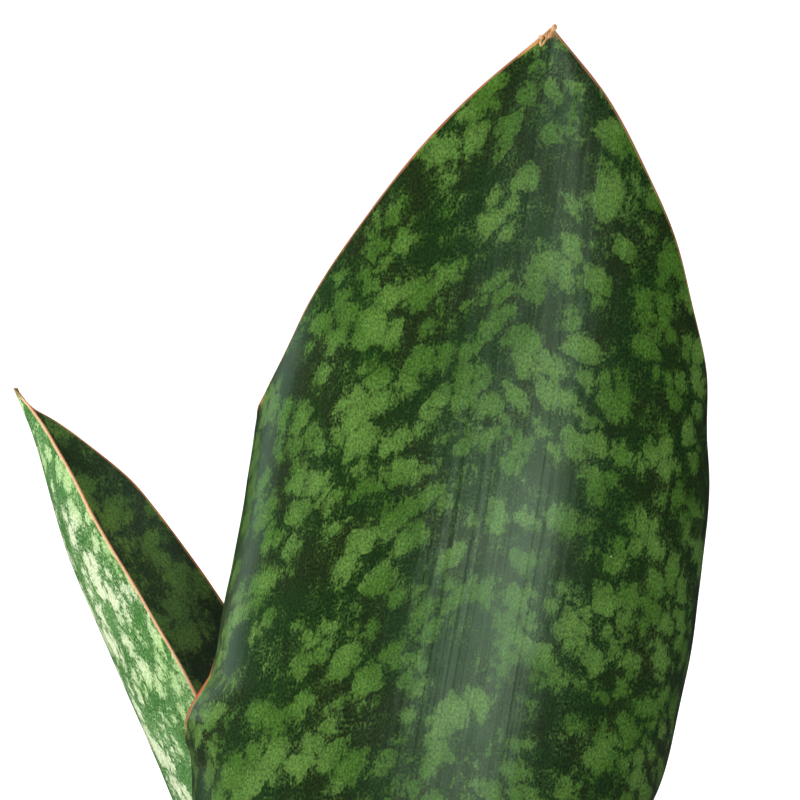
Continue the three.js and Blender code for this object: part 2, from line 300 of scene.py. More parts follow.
class Finish:
    """A procedural finish: a material with one shader that is dressed by steps."""

    def __init__(self, name: str) -> None:
        """Make an empty material.

        Args:
            name: The finish's plain name.
        """
        self.material = bpy.data.materials.new(name)
        self.material.use_nodes = True
        self.graph = Graph(self.material.node_tree)
        self.shader = self.material.node_tree.nodes["Principled BSDF"]

    def place(self) -> Socket:
        """Return the object coordinate, in metres."""
        return self.graph.node("ShaderNodeTexCoord").outputs["Object"]

    def map(self, name: str) -> Socket:
        """Return one of the piece's own UV maps as a coordinate."""
        return self.graph.node("ShaderNodeUVMap", uv_map=name).outputs[0]

    def attribute(self, name: str) -> Socket:
        """Return one of the piece's own number attributes."""
        return self.graph.node("ShaderNodeAttribute", attribute_name=name).outputs["Fac"]

    def dress(self, **values: object) -> Material:
        """Set the shader's sockets.

        Args:
            **values: What each takes; a name's underscores stand for spaces.

        Returns:
            The finished material.
        """
        for name, value in values.items():
            self.graph.feed(self.shader.inputs[name.replace("_", " ")], value)
        return self.material


# ------------------------------------------------------------------ finishes


@dataclass(frozen=True)
class LeafFinish:
    """Mottled waxy leaf skin with a horny margin.

    Lengths are in metres; `blotch` is the spacing of the light mottles, `stretch`
    how much longer than wide they run along the leaf, and `chevron` how far
    their rows fall away from the midrib.  A pair gives where a change begins
    and where it is full.
    """

    name: str
    dark: Colour
    dark_other: Colour
    light: Colour
    light_other: Colour
    margin: Colour
    margin_inner: Colour
    tip: Colour
    blotch: float = 0.0093
    stretch: float = 0.95
    chevron: float = 0.40
    cover: float = 0.48
    spread: float = 0.19
    soft: float = 0.09
    dusting: float = 0.45
    grain: float = 0.0007
    bands: float = 62
    banding: float = 0.42
    lobing: float = 1.0
    feathering: float = 0.75
    streaking: float = 0.22
    roughness: float = 0.32
    ridge: float = 0.0030
    ridge_depth: float = 0.00026
    streak_depth: float = 0.00005
    swell_depth: float = 0.0004
    grain_depth: float = 0.00002
    specular: float = 0.42
    sheen: Colour = (0.80, 1.0, 0.78)
    margin_width: float = 0.0008
    margin_wobble: float = 0.0005
    drying: tuple[float, float] = (0.0042, 0.0012)
    papery: float = 0.0
    paper_width: tuple[float, float] = (0.0024, 0.0016)
    paper_length: tuple[float, float] = (0.0115, 0.0060)
    paper_side: tuple[float, float] = (-0.0008, -0.0020)
    speck: Colour = linear(206, 210, 172)
    specks: float = 48
    speck_size: tuple[float, float] = (0.036, 0.018)
    seed: float = 0.0

    def build(self) -> Material:
        """Write the finish.

        Returns:
            The material.
        """
        finish = Finish(self.name)
        g = finish.graph
        flat = g.scaled(finish.map("LeafMap"), (1.0, 1.0, 1.0), (self.seed, 0.0, 0.0))
        across = finish.attribute("across")
        grain = g.cloud(g.scaled(flat, (1.0, 0.7, 1.0)), 1 / self.grain, 3, 0.65)
        streak = g.cloud(g.scaled(flat, (1.0, 0.03, 1.0)), 1 / self.ridge, 3, 0.6)

        dark = g.mix(g.smooth(g.cloud(flat, 38), 0.4, 0.62), self.dark, self.dark_other)
        light = g.mix(g.smooth(g.cloud(flat, 30), 0.4, 0.6), self.light, self.light_other)
        colour = g.mix(self.mottle(g, flat, across, grain, streak), dark, light)
        colour = g.shade(colour, g.smooth(grain, 0.3, 0.7), 0.6)
        colour = g.shade(colour, streak, 0.25)
        speck = g.smooth(g.cells(flat, self.specks).outputs[0], *self.speck_size)
        colour = g.mix(g.math("MULTIPLY", speck, 0.7), colour, self.speck)
        colour, horn = self.edge(finish, flat, across, grain, colour)

        rib = g.cloud(g.scaled(flat, (1.0, 0.012, 1.0)), 1 / (1.5 * self.ridge))
        fall = g.smooth(g.math("ABSOLUTE", across), 0.080, 0.015, 0.15, 1.0)
        relief = g.relief(
            (g.math("MULTIPLY", rib, fall), self.ridge_depth),
            (streak, self.streak_depth),
            (g.cloud(flat, 45), self.swell_depth),
            (grain, self.grain_depth),
        )
        rough = g.math("MULTIPLY_ADD", grain, 0.16, self.roughness - 0.08)
        rough = g.math("MULTIPLY_ADD", horn, 0.12, rough)
        return finish.dress(
            Base_Color=colour, Roughness=rough, Normal=relief,
            Specular_IOR_Level=self.specular, Specular_Tint=self.sheen,
        )

    def edge(
        self, finish: Finish, flat: Socket, across: Socket, grain: Socket, colour: Socket
    ) -> tuple[Socket, Socket]:
        """Lay the horny margin and the dry tip over the skin.

        Args:
            finish: The finish that is being written.
            flat: Coordinate along the leaf's skin.
            across: Distance from the midrib.
            grain: Fine grain of the skin.
            colour: The skin's colour.

        Returns:
            The colour with both laid over it, and 1 on the margin.
        """
        g = finish.graph
        tip_gap = finish.attribute("tip_gap")
        width = self.margin_width
        wander = (2 * self.margin_wobble, -self.margin_wobble)
        wobble = g.math("MULTIPLY_ADD", g.cloud(flat, 160), *wander)
        rim = g.math("ADD", finish.attribute("edge"), wobble)
        pale = g.smooth(rim, width * 1.9, width * 1.1)
        horn = g.smooth(rim, width * 1.15, width * 0.65)
        colour = g.mix(g.math("MULTIPLY", pale, 0.3), colour, self.margin_inner)
        colour = g.mix(horn, colour, self.margin)

        dry = g.smooth(g.math("MULTIPLY_ADD", wobble, 2.0, tip_gap), *self.drying)
        colour = g.mix(g.math("MULTIPLY", dry, 0.85), colour, self.tip)
        paper = g.smooth(rim, *self.paper_width)
        paper = g.math("MULTIPLY", paper, g.smooth(tip_gap, *self.paper_length))
        paper = g.math("MULTIPLY", paper, g.smooth(across, *self.paper_side))
        buff = g.mix(grain, self.tip, self.margin_inner)
        return g.mix(g.math("MULTIPLY", paper, self.papery), colour, buff), horn

    def mottle(
        self, g: Graph, flat: Socket, across: Socket, grain: Socket, streak: Socket
    ) -> Socket:
        """Lay out the light mottles.

        Args:
            g: The graph to write into.
            flat: Coordinate along the leaf's skin.
            across: Distance from the midrib.
            grain: Fine grain of the skin.
            streak: Fine lines along the leaf.

        Returns:
            0 on the dark ground, 1 on a mottle, and between the two at feathered edges.
        """
        spacing = self.blotch
        fall = g.math("MULTIPLY", g.math("ABSOLUTE", across), self.chevron)
        lift = g.node("ShaderNodeCombineXYZ", {1: fall}).outputs[0]
        rows = g.vector("ADD", flat, lift).outputs[0]
        swirled = g.warped(rows, 0.3 / spacing, 1.1 * spacing, 0)
        swirled = g.warped(swirled, 1.5 / spacing, 0.60 * spacing, 1)
        cell = g.cells(g.scaled(swirled, (1.0, 1 / self.stretch, 0.0)), 1 / spacing, 0.95)
        size = g.node("ShaderNodeSeparateColor", {0: cell.outputs["Color"]}).outputs[0]
        reach = g.math("MULTIPLY_ADD", size, self.spread * 2, self.cover - self.spread)
        level = g.math("SUBTRACT", reach, cell.outputs[0])
        for pattern, share in (
            (g.cloud(g.scaled(swirled, (0.25, 1.0, 0.0)), self.bands, 1.0), self.banding),
            (g.cloud(g.scaled(flat, (1.0, 0.7, 1.0)), 2.9 / spacing, 2, 0.6), self.lobing),
            (g.cloud(g.scaled(flat, (1.0, 0.4, 1.0)), 10 / spacing, 3, 0.65), self.feathering),
            (streak, self.streaking),
        ):
            level = g.math("MULTIPLY_ADD", g.math("SUBTRACT", pattern, 0.5), share, level)
        core = g.math(
            "MULTIPLY", g.smooth(level, -self.soft, self.soft), g.smooth(level, 0.0, 0.5, 0.74, 1.0)
        )
        halo = g.math("MULTIPLY", g.smooth(level, -0.42, 0.02), g.smooth(grain, 0.42, 0.66))
        return g.math("MAXIMUM", core, g.math("MULTIPLY", halo, self.dusting))


@dataclass(frozen=True)
class HuskFinish:
    """Dull fibrous skin, as on a drying sheath, a root or a corky rhizome."""

    name: str
    pale: Colour
    dark: Colour
    fibre: float = 0.0012
    along: float = 0.06
    roughness: float = 0.75
    depth: float = 0.0003

    def build(self) -> Material:
        """Write the finish.

        Returns:
            The material.
        """
        finish = Finish(self.name)
        g = finish.graph
        place = g.warped(finish.place(), 40, 0.004)
        fibre = g.cloud(g.scaled(place, (1.0, 1.0, self.along)), 1 / self.fibre, 3, 0.6)
        patch = g.cloud(place, 90, 3, 0.6)
        share = g.math("MULTIPLY_ADD", fibre, 0.6, g.math("MULTIPLY", patch, 0.55))
        return finish.dress(
            Base_Color=g.mix(g.smooth(share, 0.38, 0.74), self.dark, self.pale),
            Roughness=g.math("MULTIPLY_ADD", patch, 0.2, self.roughness - 0.1),
            Normal=g.relief((fibre, self.depth), (patch, self.depth)),
            Specular_IOR_Level=0.3,
        )


@dataclass(frozen=True)
class PotFinish:
    """Matt pot skin with a fine grain, faint drawn lines and faint rub marks."""

    name: str = "pot_matt_terracotta"
    body: Colour = linear(176, 104, 76)
    shade: Colour = linear(150, 84, 60)
    dust: Colour = linear(205, 160, 136)
    roughness: float = 0.62
    grain_depth: float = 0.00006
    drawn_depth: float = 0.00004
    cloud_depth: float = 0.0004

    def build(self) -> Material:
        """Write the finish.

        Returns:
            The material.
        """
        finish = Finish(self.name)
        g = finish.graph
        place = finish.place()
        cloud = g.cloud(place, 14, 4, 0.6)
        grain = g.cloud(place, 2600, 2, 0.6)
        drawn = g.cloud(g.scaled(place, (1.0, 1.0, 0.05)), 420, 3, 0.6)
        rub = g.smooth(g.cloud(g.warped(place, 30, 0.01), 70, 5, 0.7), 0.60, 0.78)
        colour = g.mix(g.smooth(cloud, 0.3, 0.7), self.shade, self.body)
        colour = g.mix(g.math("MULTIPLY", rub, 0.35), colour, self.dust)
        rough = g.math("MULTIPLY_ADD", grain, 0.16, self.roughness - 0.1)
        return finish.dress(
            Base_Color=g.shade(colour, drawn, 0.12),
            Roughness=g.math("MULTIPLY_ADD", rub, 0.14, rough),
            Normal=g.relief(
                (grain, self.grain_depth), (drawn, self.drawn_depth), (cloud, self.cloud_depth)
            ),
            Specular_IOR_Level=0.4,
        )


@dataclass(frozen=True)
class CrumbFinish:
    """Loose matter in the mix: fibre crumbs, bark or perlite."""

    name: str
    dark: Colour
    pale: Colour
    clump: float = 0.004
    roughness: float = 0.95
    clump_depth: float = 0.0016
    fibre_depth: float = 0.0004
    fine_depth: float = 0.0002

    def build(self) -> Material:
        """Write the finish.

        Returns:
            The material.
        """
        finish = Finish(self.name)
        g = finish.graph
        place = finish.place()
        clump = g.cloud(place, 1 / self.clump, 4, 0.65)
        fine = g.cloud(place, 1900, 3, 0.65)
        fibre = g.cloud(g.scaled(place, (1.0, 0.25, 0.6)), 900, 3, 0.6)
        share = g.math("MULTIPLY_ADD", clump, 0.65, g.math("MULTIPLY", fibre, 0.35))
        colour = g.mix(g.smooth(share, 0.38, 0.66), self.dark, self.pale)
        return finish.dress(
            Base_Color=g.shade(colour, fine, 0.5),
            Roughness=g.math("MULTIPLY_ADD", fine, 0.1, self.roughness - 0.08),
            Normal=g.relief(
                (clump, self.clump_depth), (fibre, self.fibre_depth), (fine, self.fine_depth)
            ),
            Specular_IOR_Level=0.2,
        )


# ------------------------------------------------------------------ leaf form


@dataclass
class LeafForm:
    """A leaf's channel, as curves of its height in millimetres.

    `across` and `deep` carry the midrib, `twist` turns the channel's mouth,
    `left` and `right` are the widths of its halves along the skin, and the two
    turns say how far each half has curled at its margin.  A small `fold`
    gathers the curl at the midrib, and a large one leaves it to the margins.
    """

    foot: float
    tip: float
    across: SmoothLine
    deep: SmoothLine
    twist: SmoothLine
    fold: SmoothLine
    left: SmoothLine
    right: SmoothLine
    turn_left: SmoothLine
    turn_right: SmoothLine
    thick: SmoothLine
    margin: float = 1.5
    thinning: float = 2.4
    steps: int = 48

    def half(self, z: np.ndarray, tau: np.ndarray) -> np.ndarray:
        """Return the width of the half that each place is on, in millimetres."""
        return np.where(tau < 0, self.left(z), self.right(z))

    def thickness(self, z: np.ndarray, tau: np.ndarray) -> np.ndarray:
        """Work out how thick the leaf is, full at the midrib and thin at the margins.

        Args:
            z: Heights in millimetres.
            tau: Place across the leaf, -1 at the left margin to 1 at the right.

        Returns:
            The thickness in millimetres.
        """
        full = self.thick(z)
        thin = np.minimum(self.margin, full)
        return thin + (full - thin) * (1 - np.minimum(np.abs(tau), 1) ** self.thinning)

    def points(self, z: np.ndarray, tau: np.ndarray, out: np.ndarray) -> np.ndarray:
        """Place points on the leaf.

        Args:
            z: Heights in millimetres.
            tau: Place across the leaf, -1 at the left margin to 1 at the right.
            out: How far outward of the outer skin, in millimetres.

        Returns:
            The points in metres, with a last axis of three.
        """
        z, tau, out = np.broadcast_arrays(*(np.asarray(v, float) for v in (z, tau, out)))
        side = np.where(tau < 0, -1.0, 1.0)
        reach = np.abs(tau)
        half = self.half(z, tau)
        turn = np.radians(np.where(tau < 0, self.turn_left(z), self.turn_right(z)))
        fold = self.fold(z)
        share = (np.arange(self.steps) + 0.5) / self.steps
        angle = turn[..., None] * (reach[..., None] * share) ** fold[..., None]
        along = np.cos(angle).mean(-1) * reach
        opening = np.sin(angle).mean(-1) * reach
        edge = turn * reach**fold
        sideways = side * (half * along + out * np.sin(edge))
        mouthward = half * opening - out * np.cos(edge)
        twist = np.radians(self.twist(z))
        x = self.across(z) + sideways * np.cos(twist) - mouthward * np.sin(twist)
        y = self.deep(z) + sideways * np.sin(twist) + mouthward * np.cos(twist)
        return np.stack([x, y, z], -1) * MM


def broad_form() -> LeafForm:
    """Lay out the broad paddle leaf.

    Returns:
        Its form, from its foot in the mix to its tip.
    """
    return LeafForm(
        foot=96,
        tip=580,
        across=SmoothLine(
            (96, 14.5), (165, 12.5), (245, 13), (300, 17), (350, 24),
            (426, 37), (491, 45), (540, 51.5), (580, 58),
        ),
        deep=SmoothLine(
            (96, -10.2), (165, -13), (245, -24), (330, -33), (426, -35), (500, -30), (580, -20)
        ),
        twist=SmoothLine((96, 55), (150, 48), (205, 28), (260, 12), (330, 0), (580, 0)),
        fold=SmoothLine(
            (96, 1), (165, 1.1), (245, 1.3), (330, 1.55), (400, 1.65), (470, 1.6), (580, 1.4)
        ),
        left=SmoothLine(
            (96, 38), (150, 42), (205, 62), (260, 93), (300, 111), (326, 117.5), (338, 116),
            (346, 106.5), (354, 103), (361, 100), (368, 108.5), (380, 120.5), (393, 123), (426, 120),
            (447, 111.5), (458, 98), (491, 73.5), (524, 51), (556, 25.5), (580, 0.6),
        ),
        right=SmoothLine(
            (96, 38), (150, 42), (205, 62), (260, 92), (300, 110.5), (340, 118.5), (393, 112.5),
            (426, 101.5), (458, 84.5), (491, 66.5), (524, 47), (556, 24), (580, 0.6),
        ),
        turn_left=SmoothLine(
            (96, 125), (165, 120), (245, 112), (300, 102), (335, 91), (350, 69), (359, 69),
            (368, 88), (380, 104), (400, 110), (430, 104), (448, 94), (456, 80), (480, 60),
            (510, 42), (545, 28), (580, 18),
        ),
        turn_right=SmoothLine(
            (96, 125), (165, 120), (245, 115), (330, 108), (400, 100), (440, 84), (470, 64),
            (510, 42), (545, 28), (580, 18),
        ),
        thick=SmoothLine((96, 7), (200, 6.5), (330, 5.5), (450, 4.2), (545, 2.6), (580, 1.6)),
    )


def folded_form() -> LeafForm:
    """Lay out the narrow folded leaf.

    Returns:
        Its form, from its foot in the mix to its tip.
    """
    return LeafForm(
        foot=96,
        tip=455.5,
        across=SmoothLine(
            (96, -8.5), (130, -10), (165, -14.5), (220, -31), (280, -57), (315, -71.5),
            (363, -93.5), (398, -109), (438, -121.5), (455.5, -129),
        ),
        deep=SmoothLine(
            (96, 6.5), (130, 9), (165, 15.5), (220, 36), (280, 62), (328, 80), (393, 97), (455.5, 106)
        ),
        twist=SmoothLine((96, -110), (455.5, -110)),
        fold=SmoothLine((96, 1), (165, 0.9), (245, 0.65), (330, 0.5), (455.5, 0.45)),
        left=SmoothLine(
            (96, 17), (150, 22), (205, 33), (260, 45), (320, 56), (350, 58.5),
            (384, 52.3), (418, 37), (437, 19), (444, 11), (449, 4), (455.5, 0.6),
        ),
        right=SmoothLine(
            (96, 17), (150, 22), (205, 33), (260, 45), (320, 54), (350, 54.5),
            (384, 48), (418, 34), (437, 17), (448, 7.5), (455.5, 0.6),
        ),
        turn_left=SmoothLine((96, 125), (165, 105), (245, 72), (330, 60), (426, 56), (455.5, 50)),
        turn_right=SmoothLine(
            (96, 125), (165, 105), (245, 82), (300, 78), (354, 76), (385, 73),
            (405, 68), (420, 65), (435, 67), (446, 74), (455.5, 80),
        ),
        thick=SmoothLine((96, 3.6), (200, 3.6), (330, 3.2), (420, 2.6), (455.5, 1.6)),
    )


# ------------------------------------------------------------------ mesh tools


def new_piece(name: str, vertices: np.ndarray, faces: Faces, smooth: bool = True) -> Piece:
    """Make a mesh object at the origin.

    Args:
        name: The piece's name.
        vertices: Points in metres, one row each.
        faces: Vertex numbers of each face.
        smooth: Shade it smooth.

    Returns:
        The new object, linked to the scene.
    """
    mesh = bpy.data.meshes.new(name)
    mesh.from_pydata([tuple(map(float, v)) for v in vertices], [], [tuple(map(int, f)) for f in faces])
    mesh.validate(clean_customdata=False)
    shade_smooth(mesh, smooth)
    piece = bpy.data.objects.new(name, mesh)
    bpy.context.scene.collection.objects.link(piece)
    return piece


def shade_smooth(mesh: bpy.types.Mesh, smooth: bool) -> None:
    """Shade a whole mesh smooth, or flat."""
    mesh.polygons.foreach_set("use_smooth", [smooth] * len(mesh.polygons))


def dress(piece: Piece, *finishes: Material) -> Piece:
    """Give a piece its finishes in place of any it has.

    Args:
        piece: The piece.
        *finishes: Its materials, in the order of its slots.

    Returns:
        The same piece.
    """
    piece.data.materials.clear()
    for finish in finishes:
        piece.data.materials.append(finish)
    return piece


def walls_of(rows: int, count: int) -> np.ndarray:
    """Number the faces that join rings of points, each to the next.

    Args:
        rows: How many rings.
        count: How many points in each.

    Returns:
        Four point numbers to each face.
    """
    index = np.arange(rows * count).reshape(rows, count)
    following = np.roll(index, -1, axis=1)
    return np.stack([index[:-1], following[:-1], following[1:], index[1:]], -1).reshape(-1, 4)


def drum_of(rows: int, count: int) -> list[tuple[int, ...]]:
    """Number the faces of round rings, with one face to close each end.

    Args:
        rows: How many rings.
        count: How many points in each.

    Returns:
        The point numbers of each face, with the two ends last.
    """
    ends = [tuple(range(count))[::-1], tuple(range((rows - 1) * count, rows * count))]
    return [tuple(face) for face in walls_of(rows, count)] + ends


def slab_of(rows: int, count: int) -> np.ndarray:
    """Number the faces of flat rings, with a strip of faces to close each end.

    Args:
        rows: How many rings.
        count: How many points in each, out along one side and back along the other.

    Returns:
        Four point numbers to each face, with the foot's and then the top's last.
    """
    near = np.arange(count // 2 - 1)
    far = count - 1 - near
    foot = np.stack([near, far, far - 1, near + 1], -1)
    top = np.stack([near, near + 1, far - 1, far], -1) + (rows - 1) * count
    return np.concatenate([walls_of(rows, count), foot, top])


def settle(piece: Piece) -> Piece:
    """Turn a piece with modifiers into a plain mesh with none.

    Args:
        piece: The piece, whose mesh is replaced.

    Returns:
        The same piece.
    """
    graph = bpy.context.evaluated_depsgraph_get()
    mesh = bpy.data.meshes.new_from_object(piece.evaluated_get(graph), depsgraph=graph)
    mesh.name = piece.name
    piece.modifiers.clear()
    piece.data = mesh
    return piece


def face_outward(piece: Piece) -> Piece:
    """Turn a closed piece's faces so that they point outward.

    Args:
        piece: The piece.

    Returns:
        The same piece.
    """
    work = bmesh.new()
    work.from_mesh(piece.data)
    bmesh.ops.recalc_face_normals(work, faces=work.faces)
    work.to_mesh(piece.data)
    work.free()
    return piece


def add_number(piece: Piece, name: str, values: np.ndarray) -> None:
    """Give each vertex of a piece a number.

    Args:
        piece: The piece.
        name: The attribute's name.
        values: One number to a vertex.
    """
    layer = piece.data.attributes.new(name, "FLOAT", "POINT")
    layer.data.foreach_set("value", np.asarray(values, np.float32))


def add_map(piece: Piece, name: str, corners: np.ndarray) -> None:
    """Give a piece a UV map.

    Args:
        piece: The piece.
        name: The map's name.
        corners: A pair of numbers to each face corner.
    """
    layer = piece.data.uv_layers.new(name=name)
    layer.data.foreach_set("uv", np.asarray(corners, np.float32).ravel())


# ------------------------------------------------------------------ leaves


@dataclass
class Leaf:
    """One leaf: two waxy skins, a rounded horny margin between them, and a tip.

    Lengths are in millimetres.  The margins ripple by `wave`, but not within
    `calm_tip` of the tip, nor until `calm_foot`, where the ripple begins above
    the foot and how far it takes to grow.  Each of `lips` is a height, a reach
    and a share by which the left margin's horn is widened there.
    """

    name: str
    form: LeafForm
    outer: LeafFinish
    inner: LeafFinish
    rows: int = 200
    columns: int = 84
    cap: int = 4
    roundest: float = 0.45
    crowding: float = 0.12
    edge_crowding: float = 1.25
    wave: float = 0.5
    wave_length: float = 47.0
    wave_shift: float = 2.1
    calm_foot: tuple[float, float] = (60.0, 80.0)
    calm_tip: float = 60.0
    lips: tuple[Triple, ...] = ()
    skin_gap: float = 500.0
    bake_gap: float = 0.012

    def heights(self) -> np.ndarray:
        """Space out the rings, closer together towards the tip.

        Returns:
            Their heights in millimetres.
        """
        t = np.linspace(0, 1, self.rows + 1)
        eased = t + self.crowding * np.sin(np.pi * t)
        span = self.form.tip - self.form.foot
        return self.form.foot + span * np.minimum(eased / eased.max(), 1)

    def ring(self, z: np.ndarray) -> tuple[np.ndarray, np.ndarray, np.ndarray, np.ndarray]:
        """Lay out one ring round the leaf's section at each height.

        Args:
            z: Heights in millimetres.

        Returns:
            Place across, height out of the outer skin, edge distance in
            millimetres, and 0 for the outer skin or 1 for the inner one.
        """
        form = self.form
        even = np.linspace(-1, 1, self.columns + 1)
        spread = np.sign(even) * (1 - (1 - np.abs(even)) ** self.edge_crowding)
        arc = np.linspace(0, np.pi, self.cap + 2)[1:-1]
        taus, outs, edges, inners = [], [], [], []
        for level in z:
            left, right = float(form.left(level)), float(form.right(level))
            half_thick = float(form.thickness(level, np.array(1.0))) / 2
            round_left = min(half_thick, left * self.roundest)
            round_right = min(half_thick, right * self.roundest)
            reach = np.where(spread < 0, 1 - round_left / left, 1 - round_right / right)
            tau = spread * reach
            thick = form.thickness(level, tau)
            cap_right = 1 - round_right / right + np.sin(arc) * round_right / right
            cap_left = -(1 - round_left / left) - np.sin(arc[::-1]) * round_left / left
            cap_out = -half_thick + half_thick * np.cos(arc)
            taus.append(np.concatenate([tau, cap_right, tau[::-1], cap_left]))
            outs.append(np.concatenate([tau * 0, cap_out, -thick[::-1], cap_out[::-1]]))
            half = np.where(taus[-1] < 0, left, right)
            edges.append((1 - np.abs(taus[-1])) * half)
            behind = arc > np.pi / 2
            inners.append(np.concatenate([tau * 0, behind, tau * 0 + 1, behind[::-1]]))
        return np.array(taus), np.array(outs), np.array(edges), np.array(inners)

    def ripple(self, height: np.ndarray, tau: np.ndarray) -> np.ndarray:
        """Work out how far the margins ripple, with the foot and the tip calm.

        Args:
            height: Heights in millimetres.
            tau: Place across the leaf.

        Returns:
            How far outward each place is pushed, in millimetres.
        """
        start, rise = self.calm_foot
        phase = 2 * np.pi * height / self.wave_length + self.wave_shift * np.sign(tau)
        calm = np.clip((self.form.tip - height) / self.calm_tip, 0, 1)
        calm *= np.clip((height - self.form.foot - start) / rise, 0, 1)
        return self.wave * np.abs(tau) ** 4 * np.sin(phase) * calm

    def build(self) -> Piece:
        """Grow the leaf's mesh, with its maps, numbers and finishes.

        Returns:
            The leaf.
        """
        z = self.heights()
        tau, out, edge, inner = self.ring(z)
        rows, count = tau.shape
        height = np.repeat(z[:, None], count, 1)
        points = self.form.points(height, tau, out + self.ripple(height, tau)).reshape(-1, 3)
        faces = slab_of(rows, count)
        piece = new_piece(self.name, points, faces)

        half = self.form.half(height, tau)
        for level, reach, share in self.lips:
            edge = edge * (1 - share * np.exp(-(((height - level) / reach) ** 4)) * (tau < 0))
        add_number(piece, "edge", (edge * MM).ravel())
        add_number(piece, "across", (tau * half * MM).ravel())
        add_number(piece, "tip_gap", ((self.form.tip - height) * MM).ravel())
        walls = (rows - 1) * count
        self.lay_maps(piece, tau * half + inner * self.skin_gap, height, walls)
        dress(piece, self.outer.build(), self.inner.build())
        turned = self.columns + 1 + self.cap // 2
        back = turned + self.columns + 1 + self.cap
        number = np.arange(len(faces))
        slots = (number < walls) & (number % count >= turned) & (number % count < back)
        piece.data.polygons.foreach_set("material_index", slots.astype(int))
        return face_outward(piece)

    def lay_maps(self, piece: Piece, across: np.ndarray, height: np.ndarray, walls: int) -> None:
        """Lay the metric map that the pattern follows, and one that nowhere overlaps.

        Args:
            piece: The leaf.
            across: Place across, by ring and point, in millimetres.
            height: Height in millimetres.
            walls: How many faces run round the rings.
        """
        rows, count = height.shape
        mesh = piece.data
        corner = np.empty(len(mesh.loops), int)
        mesh.loops.foreach_get("vertex_index", corner)
        metric = np.stack([across * MM, height * MM], -1).reshape(-1, 2)
        add_map(piece, "LeafMap", metric[corner])

        total = np.empty(len(mesh.polygons), int)
        mesh.polygons.foreach_get("loop_total", total)
        face_of = np.repeat(np.arange(len(mesh.polygons)), total)
        row, ring = np.divmod(corner, count)
        step = ring.astype(float)
        wraps = (face_of < walls) & (face_of % count == count - 1) & (ring == 0)
        step[wraps] = count
        gap = self.bake_gap
        u = gap + (1 - 2 * gap) * step / count
        v = 2 * gap + (1 - 4 * gap) * row / (rows - 1)

        # The strips that close the foot and the top lie folded in the gaps.
        caps = face_of >= walls
        on_foot = caps & (row == 0)
        on_top = caps & (row == rows - 1)
        folded = np.where(ring < count / 2, ring, count - 1 - ring)
        lift = np.where(ring < count / 2, 0.0, gap * 0.8)
        u = np.where(caps, gap + (1 - 2 * gap) * folded / count, u)
        v = np.where(on_foot, gap * 0.5 + lift, v)
        v = np.where(on_top, 1 - gap * 1.5 + lift, v)
        add_map(piece, "OFBake", np.stack([u, v], -1))


